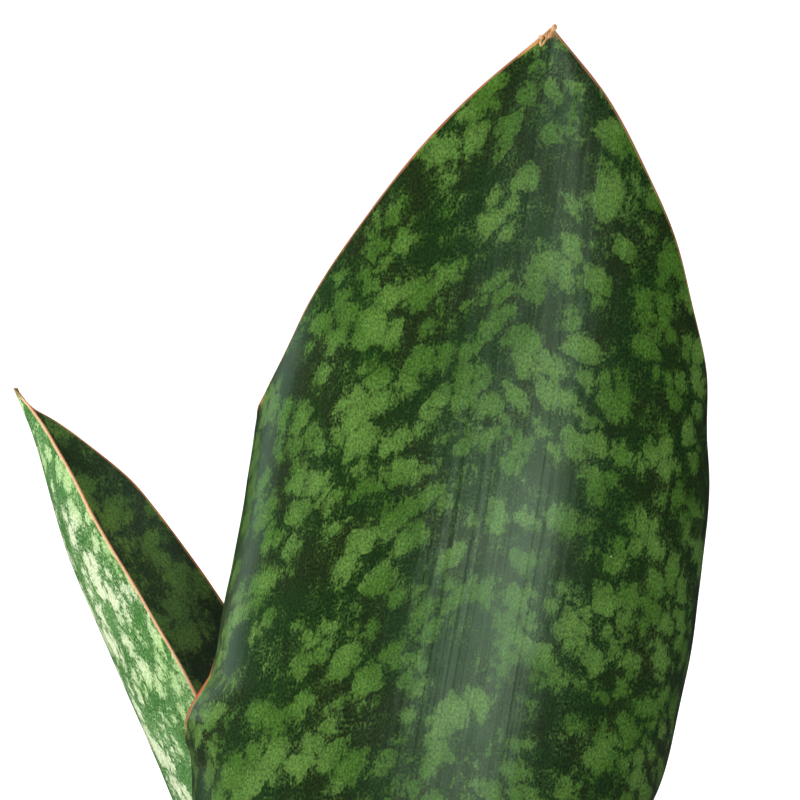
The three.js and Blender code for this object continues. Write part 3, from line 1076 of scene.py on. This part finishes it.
@dataclass
class DryTip:
    """The withered end of the broad leaf: a bent nub, and a forked flake below it.

    Lengths are in millimetres.  The nub's rings give their rise, their lean and
    their radius.  A flake's points give how far right of the midrib, how far
    below the tip and how far out from the skin it passes, and its section goes
    out across its front (0) and home across its back (1).
    """

    form: LeafForm
    name: str = "dry_tip"
    sides: int = 20
    nub_foot: float = 3.6
    nub: tuple[Triple, ...] = (
        (0.0, 0.0, 1.1), (0.8, 0.0, 1.5), (1.6, 0.2, 1.25), (2.3, 0.5, 1.0),
        (3.1, 0.8, 1.05), (3.8, 1.2, 0.95), (4.4, 1.5, 0.7), (4.8, 1.6, 0.15),
    )
    nub_flatness: float = 0.62
    flakes: tuple[tuple[Triple, ...], ...] = (
        ((-2.7, 2.6, 0.2), (-3.1, 3.5, 0.8), (-3.1, 4.6, 1.2), (-2.8, 6.2, 1.8)),
        ((-0.9, 2.4, 0.2), (-1.1, 3.3, 0.9), (-1.7, 4.5, 1.2), (-2.6, 6.1, 1.5)),
        ((-3.4, 3.4, 0.1), (-2.9, 2.9, 0.3), (-2.2, 2.5, 0.4), (-1.2, 2.0, 0.3)),
    )
    flake_steps: int = 15
    flake_width: float = 1.9
    flake_taper: float = 0.85
    flake_curl: float = 0.315
    flake_thick: float = 0.22
    flake_section: tuple[tuple[float, int], ...] = (
        (-0.5, 0), (0.0, 0), (0.5, 0), (0.5, 1), (0.0, 1), (-0.5, 1),
    )

    def lay_nub(self) -> tuple[np.ndarray, Faces]:
        """Lay out the nub as rings, with its ends closed.

        Returns:
            Its points in metres, and its faces.
        """
        foot = self.form.tip - self.nub_foot
        middle = -float(self.form.thick(foot)) / 2
        base = self.form.points(np.array(foot), np.array(0.0), np.array(middle))
        angles = np.linspace(0, 2 * np.pi, self.sides, endpoint=False)
        rings = []
        for i, (rise, lean, radius) in enumerate(self.nub):
            gnarl = 1 + 0.12 * np.sin(3 * angles + 1.7 * i) + 0.06 * np.sin(7 * angles - i)
            x = lean + radius * gnarl * np.cos(angles)
            y = self.nub_flatness * radius * gnarl * np.sin(angles)
            rings.append(base + np.stack([x, y, np.full_like(x, rise)], -1) * MM)
        return np.concatenate(rings), drum_of(len(rings), self.sides)

    def lay_flake(self, path: Sequence[Triple]) -> tuple[np.ndarray, Faces]:
        """Lay out one flake as a thin curling strip along its path.

        Args:
            path: The points that it passes.

        Returns:
            Its points in metres, and its faces.
        """
        t = np.linspace(0, 1, self.flake_steps)
        stations = np.linspace(0, 1, len(path))
        right, down, proud = (
            SmoothLine(*zip(stations, values))(t) for values in np.array(path).T
        )
        z = self.form.tip - down
        taper = 1 - self.flake_taper * t**1.6
        width = self.flake_width * taper * (0.75 + 0.25 * np.sin(9 * t))
        along = np.gradient(np.stack([right, z], -1), axis=0)
        along /= np.linalg.norm(along, axis=1)[:, None]
        rings = []
        place = right / np.maximum(self.form.half(z, right), 1)
        skin = self.form.points(z, place, np.zeros_like(z))[:, 1] / MM
        for share, back in self.flake_section:
            x = self.form.across(z) + right - along[:, 1] * width * share
            y = skin - proud - abs(share) * self.flake_curl + back * self.flake_thick
            level = z + along[:, 0] * width * share
            rings.append(np.stack([x, y, level], -1) * MM)
        ring = np.stack(rings, 1)
        return ring.reshape(-1, 3), drum_of(*ring.shape[:2])

    def build(self, finish: Material) -> Piece:
        """Make the nub and its flakes as one piece.

        Args:
            finish: Its material.

        Returns:
            The dry tip.
        """
        points, faces, shift = [], [], 0
        for part, part_faces in [self.lay_nub()] + [self.lay_flake(path) for path in self.flakes]:
            points.append(part)
            faces += [tuple(int(v) + shift for v in face) for face in part_faces]
            shift += len(part)
        piece = new_piece(self.name, np.concatenate(points), faces)
        return face_outward(dress(piece, finish))


@dataclass
class Sheath:
    """A short husk that lies against a leaf's outer skin at its foot.

    `middle` is where across the leaf it lies, and `span` how far it reaches to
    each side, both as shares of the leaf's half width.  The rest are lengths in
    millimetres, with `top` a height.
    """

    name: str
    form: LeafForm
    middle: float
    span: float
    lift: float
    thick: float
    top: float
    rows: int = 40
    columns: int = 28
    point: float = 0.02
    fray: float = 0.014
    curl: float = 0.7

    def build(self, finish: Material) -> Piece:
        """Grow the husk.

        Args:
            finish: Its material.

        Returns:
            The husk.
        """
        t = np.linspace(0, 1, self.rows + 1)[:, None]
        z = self.form.foot + (self.top - self.form.foot) * t
        half = self.span * np.maximum(np.maximum(1 - t**2.2, 0) ** 0.8, self.point)
        across = np.linspace(-1, 1, self.columns + 1)[None, :]
        notches = self.fray * np.sin(23 * t) * np.sin(61 * t + 1)
        tau = self.middle + half * (across + notches * np.sign(across) * np.abs(across) ** 6)
        z = np.repeat(z, self.columns + 1, 1)
        thin = self.thick * (1 - 0.5 * t) * (1 - 0.75 * np.abs(across) ** 3)
        curl = self.curl * np.abs(across) ** 5 * t
        outer = self.form.points(z, tau, self.lift + thin + curl)
        inner = self.form.points(z, tau, self.lift + curl)
        ring = np.concatenate([outer, inner[:, ::-1]], 1)
        piece = new_piece(self.name, ring.reshape(-1, 3), slab_of(*ring.shape[:2]))
        return face_outward(dress(piece, finish))


# ------------------------------------------------------------------ pot


@dataclass
class Pot:
    """A plain tapered pot with a rim band and a ring of drain holes, in millimetres."""

    height: float = 130
    foot_radius: float = 54
    rim_radius: float = 76
    rim_depth: float = 20
    rim_step: float = 3
    wall: float = 3
    floor: float = 4
    drains: int = 6
    drain_radius: float = 5
    drain_ring: float = 35
    sides: int = 144
    drain_sides: int = 32
    crease: float = 38
    finish: PotFinish = field(default_factory=PotFinish)

    def inside(self, z: float) -> float:
        """Return the inside radius at a height."""
        wall_top = self.rim_radius - self.rim_step
        return self.foot_radius + (wall_top - self.foot_radius) * z / self.height - self.wall

    @staticmethod
    def rounded(corners: Sequence[Triple], steps: int = 5) -> list[tuple[float, float]]:
        """Round the corners of a profile.

        Args:
            corners: Radius, height and corner rounding of each point.
            steps: Points to each round.

        Returns:
            The profile as radius and height.
        """
        profile = []
        for i, (radius, z, soft) in enumerate(corners):
            here = Vector((radius, z))
            if soft == 0 or i in (0, len(corners) - 1):
                profile.append((radius, z))
                continue
            before = Vector(corners[i - 1][:2]) - here
            after = Vector(corners[i + 1][:2]) - here
            start = here + before.normalized() * soft
            end = here + after.normalized() * soft
            for k in range(steps + 1):
                t = k / steps
                point = start * (1 - t) ** 2 + here * 2 * t * (1 - t) + end * t**2
                profile.append((point.x, point.y))
        return profile

    def profile(self) -> list[tuple[float, float]]:
        """Lay out the pot's half section.

        Returns:
            Radius and height, from the middle of its underside round to its floor.
        """
        rim_foot = self.height - self.rim_depth
        at_rim = self.inside(rim_foot) + self.wall
        lip = self.inside(self.height)
        return self.rounded([
            (0, 0, 0),
            (self.foot_radius, 0, 2.2),
            (at_rim, rim_foot, 0.8),
            (self.rim_radius, rim_foot, 1.2),
            (self.rim_radius, self.height, 1.8),
            (lip, self.height, 1.4),
            (self.inside(self.floor), self.floor, 2.5),
            (0, self.floor, 0),
        ])

    def build(self) -> Piece:
        """Turn the pot and pierce its floor.

        Returns:
            The pot.
        """
        profile = self.profile()[1:-1]
        angles = np.linspace(0, 2 * np.pi, self.sides, endpoint=False)
        rings = np.array(
            [[(r * np.cos(a), r * np.sin(a), z) for a in angles] for r, z in profile]
        ) * MM
        pot = new_piece("pot_shell", rings.reshape(-1, 3), drum_of(len(profile), self.sides))
        cutters = [self.pierce(pot, 2 * math.pi * i / self.drains) for i in range(self.drains)]
        settle(pot)
        for cutter in cutters:
            bpy.data.objects.remove(cutter)
        dress(pot, self.finish.build())
        shade_smooth(pot.data, True)
        pot.data.set_sharp_from_angle(angle=math.radians(self.crease))
        return face_outward(pot)

    def pierce(self, pot: Piece, azimuth: float) -> Piece:
        """Cut one drain hole.

        Args:
            pot: The pot.
            azimuth: Where round the floor, in radians.

        Returns:
            What cuts it, which is needed until the pot is settled.
        """
        work = bmesh.new()
        place = Vector((math.cos(azimuth), math.sin(azimuth), 0)) * self.drain_ring * MM
        radius = self.drain_radius * MM
        bmesh.ops.create_cone(
            work, cap_ends=True, segments=self.drain_sides, radius1=radius, radius2=radius,
            depth=6 * self.floor * MM, matrix=Matrix.Translation(place),
        )
        mesh = bpy.data.meshes.new("drain_cutter")
        work.to_mesh(mesh)
        work.free()
        cutter = bpy.data.objects.new("drain_cutter", mesh)
        bpy.context.scene.collection.objects.link(cutter)
        cut = pot.modifiers.new("drain", "BOOLEAN")
        cut.operation = "DIFFERENCE"
        cut.solver = "EXACT"
        cut.object = cutter
        return cutter


# ------------------------------------------------------------------ loose matter


class Grit(Enum):
    """The kinds of loose matter strewn over the mix."""

    CRUMB = "crumb"
    BARK = "bark"
    PERLITE = "perlite"


@dataclass
class Strewn:
    """One kind of loose matter, strewn over the mix by a node tree.

    `density` is grains to the square metre, and `small` and `large` are their
    sizes in millimetres.  `flat`, `rough` and `sink` are shares of a grain's
    size, and `lumps` is how many bumps its skin has to the metre.
    """

    kind: Grit
    finish: CrumbFinish
    density: float
    small: float
    large: float
    flat: float
    seed: int
    rough: float = 0.35
    rounds: int = 2
    sink: float = 0.3
    lumps: float = 380
    turning: tuple[Triple, Triple] = ((-0.5, -0.5, 0.0), (0.5, 0.5, 2 * math.pi))
    widths: tuple[Triple, Triple] = ((0.7, 0.6, 0.7), (1.3, 1.1, 1.2))

    def tree(self) -> bpy.types.NodeTree:
        """Write the node tree that strews it.

        Returns:
            The tree, with named inputs for its sizes.
        """
        tree = bpy.data.node_groups.new(f"strew_{self.kind.value}", "GeometryNodeTree")
        face = tree.interface
        face.new_socket("Geometry", in_out="INPUT", socket_type="NodeSocketGeometry")
        for name in ("Density", "Small", "Large", "Flatness", "Roughness", "Sink"):
            face.new_socket(name, in_out="INPUT", socket_type="NodeSocketFloat")
        face.new_socket("Seed", in_out="INPUT", socket_type="NodeSocketInt")
        face.new_socket("Geometry", in_out="OUTPUT", socket_type="NodeSocketGeometry")
        g = Graph(tree)
        given = g.node("NodeGroupInput").outputs
        result = g.node("NodeGroupOutput")

        seed = {"Seed": given["Seed"]}
        spread = g.node(
            "GeometryNodeDistributePointsOnFaces",
            {"Mesh": given["Geometry"], "Density": given["Density"], **seed},
            distribute_method="RANDOM",
        )
        stone = g.node("GeometryNodeMeshIcoSphere", {"Radius": 0.5, "Subdivisions": self.rounds})
        size = g.node(
            "FunctionNodeRandomValue", {2: given["Small"], 3: given["Large"], **seed},
            data_type="FLOAT",
        )
        turn, wide = (
            g.node("FunctionNodeRandomValue", {0: low, 1: high, **seed}, data_type="FLOAT_VECTOR")
            for low, high in (self.turning, self.widths)
        )
        squash = g.node("ShaderNodeCombineXYZ", (1.0, 1.0, given["Flatness"]))
        shape = g.vector("MULTIPLY", wide.outputs[0], squash.outputs[0])
        scale = g.node(
            "ShaderNodeVectorMath", {0: shape.outputs[0], "Scale": size.outputs[1]},
            operation="SCALE",
        )
        put = g.node("GeometryNodeInstanceOnPoints", {
            "Points": spread.outputs["Points"], "Instance": stone.outputs["Mesh"],
            "Rotation": turn.outputs[0], "Scale": scale.outputs[0],
        })
        real = g.node("GeometryNodeRealizeInstances", (put.outputs[0],))

        where = g.node("GeometryNodeInputPosition").outputs[0]
        cloud = g.noise(where, self.lumps, 2, 0.6).outputs[1]
        push = g.node(
            "ShaderNodeVectorMath",
            {0: g.scaled(cloud, (1.0, 1.0, 1.0), (-0.5, -0.5, -0.5)), "Scale": given["Roughness"]},
            operation="SCALE",
        )
        drop = g.node("ShaderNodeCombineXYZ", {2: g.math("MULTIPLY", given["Sink"], -1.0)})
        heap = real
        for offset in (push, drop):
            heap = g.node(
                "GeometryNodeSetPosition",
                {"Geometry": heap.outputs[0], "Offset": offset.outputs[0]},
            )
        dressed = g.node(
            "GeometryNodeSetMaterial",
            {"Geometry": heap.outputs[0], "Material": self.finish.build()},
        )
        g.feed(result.inputs[0], dressed.outputs[0])
        return tree

    def build(self, bed: bpy.types.Mesh) -> Piece:
        """Strew it over a bed.

        Args:
            bed: The mesh that it lies on.

        Returns:
            One plain mesh of all its grains.
        """
        piece = bpy.data.objects.new(f"mix_{self.kind.value}", bed.copy())
        bpy.context.scene.collection.objects.link(piece)
        strew = piece.modifiers.new("strew", "NODES")
        strew.node_group = self.tree()
        mean = (self.small + self.large) / 2 * MM
        sizes = {
            "Density": self.density,
            "Small": self.small * MM,
            "Large": self.large * MM,
            "Flatness": self.flat,
            "Roughness": self.rough * mean,
            "Sink": self.sink * mean * self.flat,
            "Seed": self.seed,
        }
        for item in strew.node_group.interface.items_tree:
            if item.in_out == "INPUT" and item.name in sizes:
                strew[item.identifier] = sizes[item.name]
        settle(piece)
        shade_smooth(piece.data, False)
        return piece


@dataclass
class PottingMix:
    """The mix: its carried-over body, and the loose matter on top of it.

    Only faces above `clear` whose slope is gentler than `keep_off` are strewn,
    and what lies beyond `rim_reach` is drawn in by `rim_gap`, all in metres.
    """

    clear: float = 0.112
    keep_off: float = 0.4
    rim_reach: float = 0.064
    rim_gap: float = 0.0015
    weld: float = 1e-6
    crumbs: float = 230000.0
    bark: float = 9000.0
    perlite: float = 9000.0

    def bed(self) -> bpy.types.Mesh:
        """Copy the top faces of the mix.

        Returns:
            A mesh of its open surface.
        """
        work = bmesh.new()
        work.from_mesh(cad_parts["potting_mix"].data)
        bmesh.ops.remove_doubles(work, verts=work.verts, dist=self.weld)
        work.normal_update()
        low = [
            f for f in work.faces
            if f.normal.z < self.keep_off or f.calc_center_median().z < self.clear
        ]
        bmesh.ops.delete(work, geom=low, context="FACES")
        for vertex in work.verts:
            reach = vertex.co.xy.length
            if reach > self.rim_reach:
                vertex.co.xy *= (reach - self.rim_gap) / reach
        mesh = bpy.data.meshes.new("mix_bed")
        work.to_mesh(mesh)
        work.free()
        return mesh

    def build(self) -> list[Piece]:
        """Dress the mix and strew its surface.

        Returns:
            The strewn pieces.
        """
        dark = CrumbFinish("mix_fibre", linear(30, 21, 15), linear(74, 54, 38))
        dress(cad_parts["potting_mix"], dark.build())
        bed = self.bed()
        crumb = CrumbFinish("mix_crumbs", linear(34, 24, 17), linear(92, 68, 47), clump=0.006)
        bark = CrumbFinish("mix_bark", linear(50, 36, 26), linear(122, 92, 66), clump=0.006)
        perlite = CrumbFinish(
            "mix_perlite", linear(206, 202, 192), linear(240, 238, 230), clump=0.003
        )
        kinds = [
            Strewn(Grit.CRUMB, crumb, self.crumbs, 1.0, 3.4, 0.75, 11, 0.6, 1, 0.25),
            Strewn(Grit.BARK, bark, self.bark, 4.0, 10.0, 0.32, 23, 0.3, 2, -0.2),
            Strewn(Grit.PERLITE, perlite, self.perlite, 1.6, 3.6, 0.85, 37, 0.5, 2, 0.0),
        ]
        made = [kind.build(bed) for kind in kinds]
        bpy.data.meshes.remove(bed)
        return made


# ------------------------------------------------------------------ studio


@dataclass
class Lamp:
    """One soft panel light."""

    name: str
    place: Place
    aim: Place
    width: float
    height: float
    power: float
    colour: Colour = WHITE
    glossy: bool = True

    def build(self) -> None:
        """Hang the panel."""
        light = bpy.data.lights.new(self.name, "AREA")
        light.shape = "RECTANGLE"
        light.size, light.size_y = self.width, self.height
        light.energy = self.power
        light.color = self.colour
        lamp = bpy.data.objects.new(self.name, light)
        lamp.location = self.place
        way = Vector(self.aim) - Vector(self.place)
        lamp.rotation_euler = way.to_track_quat("-Z", "Y").to_euler()
        lamp.visible_camera = False
        lamp.visible_glossy = self.glossy
        bpy.context.scene.collection.objects.link(lamp)


@dataclass
class Studio:
    """The pale floor, the soft light and the camera."""

    aim: Place = (0.0082, -0.030, 0.4584)
    elevation: float = 3.0
    distance: float = 1.6
    view_width: float = 0.2616
    sensor: float = 36.0
    floor_radius: float = 40.0
    floor_sides: int = 96
    floor_dim: Colour = (0.80, 0.80, 0.795)
    floor_pale: Colour = (0.84, 0.84, 0.835)
    floor_mirrored: Colour = (0.06, 0.06, 0.06)
    room: Colour = (0.97, 0.99, 1.0)
    backdrop: float = 1.05
    fill: float = 0.40
    gloss_fill: float = 0.05
    glow_reach: tuple[float, float] = (0.25, 1.8)
    glow: tuple[float, float] = (0.30, 1.0)

    def camera(self) -> None:
        """Set up the camera at eye height to the broad leaf."""
        data = bpy.data.cameras.new("camera")
        data.sensor_width = self.sensor
        data.lens = self.sensor * self.distance / self.view_width
        camera = bpy.data.objects.new("camera", data)
        tilt = math.radians(self.elevation)
        back = Vector((0, -math.cos(tilt), math.sin(tilt)))
        camera.location = Vector(self.aim) + back * self.distance
        camera.rotation_euler = (-back).to_track_quat("-Z", "Y").to_euler()
        bpy.context.scene.collection.objects.link(camera)
        bpy.context.scene.camera = camera

    def floor(self) -> None:
        """Lay the floor."""
        angles = np.linspace(0, 2 * np.pi, self.floor_sides, endpoint=False)
        ring = np.stack([np.cos(angles), np.sin(angles), np.zeros_like(angles)], -1)
        sides = [list(range(self.floor_sides))]
        floor = new_piece("studio_floor", ring * self.floor_radius, sides, False)
        finish = Finish("studio_floor")
        g = finish.graph
        place = finish.place()
        colour = g.mix(g.cloud(place, 3, 3), self.floor_dim, self.floor_pale)
        reach = g.vector("LENGTH", place).outputs["Value"]
        glow = g.smooth(reach, *self.glow_reach, *self.glow)
        path = g.node("ShaderNodeLightPath").outputs
        dress(floor, finish.dress(
            Base_Color=g.mix(path["Is Glossy Ray"], colour, self.floor_mirrored),
            Roughness=0.9, Specular_IOR_Level=0.1, Emission_Color=WHITE,
            Emission_Strength=g.math("MULTIPLY", glow, path["Is Camera Ray"]),
        ))

    def world(self) -> None:
        """Fill the room: white to the eye, dimmer as a light."""
        world = bpy.data.worlds.new("studio")
        bpy.context.scene.world = world
        world.use_nodes = True
        g = Graph(world.node_tree)
        light = world.node_tree.nodes["Background"]
        g.feed(light.inputs["Color"], self.room)
        path = g.node("ShaderNodeLightPath").outputs
        level = g.math("MULTIPLY_ADD", path["Is Camera Ray"], self.backdrop - self.fill, self.fill)
        level = g.math("MULTIPLY_ADD", path["Is Glossy Ray"], self.gloss_fill - self.fill, level)
        g.feed(light.inputs["Strength"], level)

    def lamps(self) -> None:
        """Hang the soft panels."""
        middle = (0.02, -0.02, 0.42)
        cool = (0.93, 0.98, 1.0)
        glint = (0.86, 1.0, 0.90)
        for lamp in (
            Lamp("panel_top", (0.0, 0.2, 3.0), (0.0, 0.0, 0.0), 2.6, 2.6, 36),
            Lamp("panel_front", (0.68, -2.6, 1.15), middle, 0.22, 2.0, 12, glint),
            Lamp("panel_front_fill", (0.30, -2.6, 1.0), middle, 0.8, 2.0, 16, glossy=False),
            Lamp("panel_low", (0.22, -1.5, 0.18), middle, 0.36, 0.42, 5.0, glint),
            Lamp("panel_over", (0.9, -1.3, 2.2), middle, 1.0, 1.0, 8, cool),
            Lamp("panel_left", (-2.1, 1.3, 0.9), middle, 1.2, 1.8, 8, (0.78, 1.0, 0.92)),
            Lamp("panel_left_fill", (-2.4, -0.4, 0.9), middle, 1.4, 1.8, 70, glossy=False),
        ):
            lamp.build()

    def build(self) -> None:
        """Set up the whole studio."""
        scene = bpy.context.scene
        scene.view_settings.view_transform = "Standard"
        scene.view_settings.look = "None"
        self.camera()
        self.floor()
        self.world()
        self.lamps()


# ------------------------------------------------------------------ the plant


@dataclass
class Plant:
    """The plant: two leaves, the husks at their foot, the rhizome and the roots."""

    broad: LeafForm = field(default_factory=broad_form)
    folded: LeafForm = field(default_factory=folded_form)

    def leaves(self) -> dict[str, Piece]:
        """Grow both leaves.

        Returns:
            The pieces, by the name of the node that each replaces.
        """
        margin = linear(158, 58, 32)
        margin_inner = linear(210, 148, 98)
        tip = linear(150, 104, 62)
        outer = LeafFinish(
            "broad_leaf_outer", linear(20, 42, 13), linear(24, 37, 13), linear(56, 88, 27),
            linear(74, 104, 43), margin, margin_inner, tip, papery=0.9,
        )
        inner = LeafFinish(
            "broad_leaf_inner", linear(22, 42, 16), linear(28, 38, 14), linear(66, 100, 34),
            linear(76, 108, 44), margin, margin_inner, tip, roughness=0.5, seed=3.0,
        )
        folded_margin = linear(226, 168, 128)
        folded_tip = linear(116, 100, 42)
        folded_outer = LeafFinish(
            "folded_leaf_outer", linear(58, 102, 44), linear(78, 118, 62), linear(150, 178, 118),
            linear(190, 198, 164), folded_margin, linear(246, 208, 172), folded_tip,
            blotch=0.0053, stretch=1.8, chevron=0.0, cover=0.43, spread=0.24, banding=0.4,
            dusting=0.4, soft=0.08, seed=7.0, margin_width=0.0006, roughness=0.42,
        )
        folded_inner = LeafFinish(
            "folded_leaf_inner", linear(24, 42, 14), linear(30, 44, 26), linear(78, 104, 40),
            linear(66, 96, 38), linear(184, 104, 56), linear(206, 146, 94), folded_tip,
            blotch=0.0100, stretch=1.25, chevron=0.0, cover=0.50, banding=0.3, dusting=0.45,
            soft=0.12, seed=5.0, margin_width=0.0007, roughness=0.5,
        )
        return {
            "leaf_main": Leaf(
                "broad_leaf", self.broad, outer, inner, lips=((356, 15, 0.6), (455, 4, 0.7)),
            ).build(),
            "leaf_second": Leaf(
                "folded_leaf", self.folded, folded_outer, folded_inner,
                rows=150, columns=60, wave=0.3,
            ).build(),
        }

    def sheaths(self) -> dict[str, Piece]:
        """Grow the husks round the shoot.

        Returns:
            The pieces, by the name of the node that each replaces.
        """
        dry = HuskFinish(
            "sheath_drying", linear(186, 160, 112), linear(88, 84, 44), 0.0015, 0.03, 0.65, 0.0004
        ).build()
        husks = {
            "sheath_front": (self.broad, 0.05, 0.78, 1.3, 1.3, 172),
            "sheath_outer": (self.broad, -0.3, 0.62, 3.4, 1.2, 139),
            "sheath_back": (self.folded, 0.0, 0.8, 0.9, 1.2, 148),
        }
        return {node: Sheath(f"{node}_husk", *given).build(dry) for node, given in husks.items()}

    def dry_tip(self) -> Piece:
        """Make the withered end of the broad leaf.

        Returns:
            The dry tip.
        """
        paper = HuskFinish(
            "dry_tip_paper", linear(226, 176, 124), linear(128, 70, 38), 0.0011, 0.6, 0.7, 0.00012
        )
        return DryTip(self.broad).build(paper.build())

    def underground(self) -> list[str]:
        """Dress the carried-over rhizome and roots.

        Returns:
            The names of the nodes that were dressed.
        """
        corky = HuskFinish(
            "rhizome_cork", linear(196, 142, 84), linear(128, 82, 44), 0.0020, 0.5
        ).build()
        fleshy = HuskFinish(
            "root_skin", linear(222, 196, 150), linear(164, 128, 84), 0.0008, 0.4
        ).build()
        dressed = []
        for name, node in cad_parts.items():
            if name == "rhizome" or name.startswith("root_"):
                dress(node, corky if name == "rhizome" else fleshy)
                dressed.append(name)
        return dressed


def seat(piece: Piece, slot: str, node: str = "") -> None:
    """Fix a piece to the body, and let it take a node's place if one is named.

    Args:
        piece: The finished piece.
        slot: The name that is logged for it when no node is named.
        node: The node that it stands for.
    """
    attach(piece, BODY)
    if node:
        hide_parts(node)
    LOG.info("%s, for %s: %d faces", piece.name, node or slot, len(piece.data.polygons))


def main() -> None:
    """Build the plant, its pot and the studio, in order."""
    logging.basicConfig(level=logging.INFO, format="%(message)s")
    Studio().build()
    plant = Plant()
    for node, piece in plant.leaves().items():
        seat(piece, node, node)
    for node, piece in plant.sheaths().items():
        seat(piece, "sheath", node)
    seat(plant.dry_tip(), "leaf_main")
    LOG.info("dressed %s", ", ".join(plant.underground()))
    seat(Pot().build(), "pot", "pot")
    for piece in PottingMix().build():
        seat(piece, "potting_mix")


if __name__ == "__main__":
    main()
